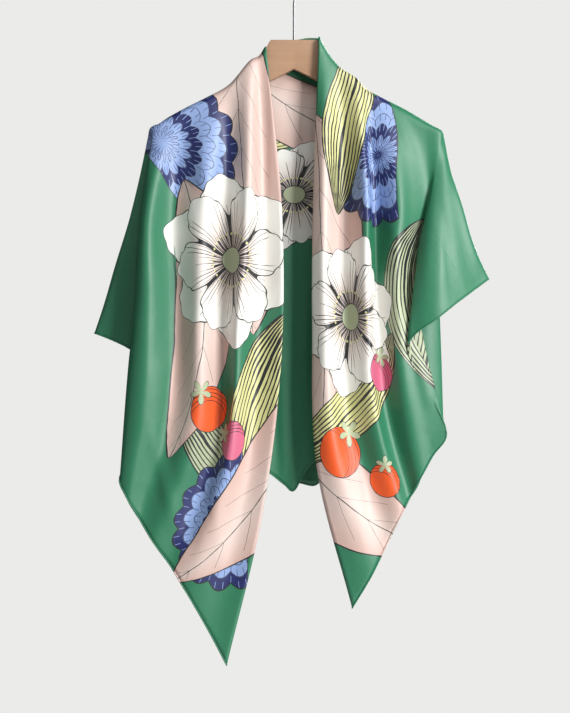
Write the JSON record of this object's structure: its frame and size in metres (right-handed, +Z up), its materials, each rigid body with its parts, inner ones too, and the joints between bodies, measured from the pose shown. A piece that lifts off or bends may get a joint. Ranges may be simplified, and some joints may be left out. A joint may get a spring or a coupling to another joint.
{
  "type": "silk square scarf on a wooden hanger",
  "caption": "Large printed silk square folded corner to corner, hung like a shawl over a flat wooden hanger with a steel hook.",
  "frame": {"origin": "highest point inside the hook, where a rail carries it", "axes": "+Z up, -Y towards the viewer (the side where the two long ends hang), +X to the viewer's right"},
  "size_m": [0.562, 0.0936, 0.9952],
  "materials": {
    "printed_silk": "printed silk, satin sheen",
    "silk_inner_layer": "printed silk, inner layer",
    "hanger_wood": "lightly varnished beech",
    "hook_steel": "polished steel rod"
  },
  "bodies": {
    "root": {"front_left": "printed_silk", "front_right": "printed_silk", "side_left": "printed_silk", "side_right": "printed_silk", "back_outer": "printed_silk", "back_inner": "silk_inner_layer", "inner_side_right": "silk_inner_layer", "hanger_body": "hanger_wood", "hanger_hook": "hook_steel"}
  },
  "joints": []
}
